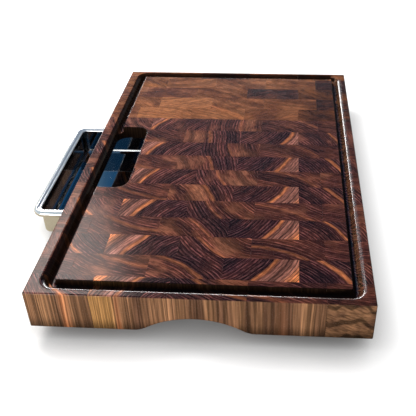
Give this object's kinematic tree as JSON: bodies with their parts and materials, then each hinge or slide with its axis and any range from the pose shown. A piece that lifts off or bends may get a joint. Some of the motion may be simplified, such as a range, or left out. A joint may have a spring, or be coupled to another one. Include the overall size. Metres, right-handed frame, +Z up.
{
  "type": "butcher block cutting board",
  "caption": "End-grain butcher block cutting board on rubber feet, with a juice groove, a drop-through window and a steel food pan that slides out of one side on runners.",
  "frame": {"origin": "centre of the work surface", "axes": "+X to the right, away from the pan; +Y to the back; +Z up out of the work surface"},
  "size_m": [0.32, 0.434, 0.051],
  "materials": {
    "front_walnut": "oiled end grain",
    "back_walnut": "oiled end grain",
    "runner_walnut": "oiled long grain",
    "pan_steel": "bright polished",
    "screw_steel": "bright zinc",
    "foot_rubber": "matt"
  },
  "bodies": {
    "board": {"strip_01": "front_walnut", "strip_02": "front_walnut", "strip_03": "front_walnut", "strip_04": "front_walnut", "strip_05": "front_walnut", "strip_06": "front_walnut", "strip_07": "front_walnut", "strip_08": "front_walnut", "strip_09": "front_walnut", "strip_10": "front_walnut", "strip_11": "front_walnut", "strip_12": "back_walnut", "strip_13": "back_walnut", "strip_14": "back_walnut", "strip_15": "back_walnut", "strip_16": "back_walnut", "front_runner": "runner_walnut", "rear_runner": "runner_walnut", "runner_screws": "screw_steel", "front_left_foot": "foot_rubber", "front_right_foot": "foot_rubber", "back_left_foot": "foot_rubber", "back_right_foot": "foot_rubber", "foot_washers": "screw_steel", "foot_screws": "screw_steel"},
    "pan": {"food_pan": "pan_steel"}
  },
  "joints": [
    {"name": "pan_slide", "type": "slide", "parent": "board", "child": "pan", "axis": [-1, 0, 0], "range_m": [-0.04, 0.0695]}
  ]
}
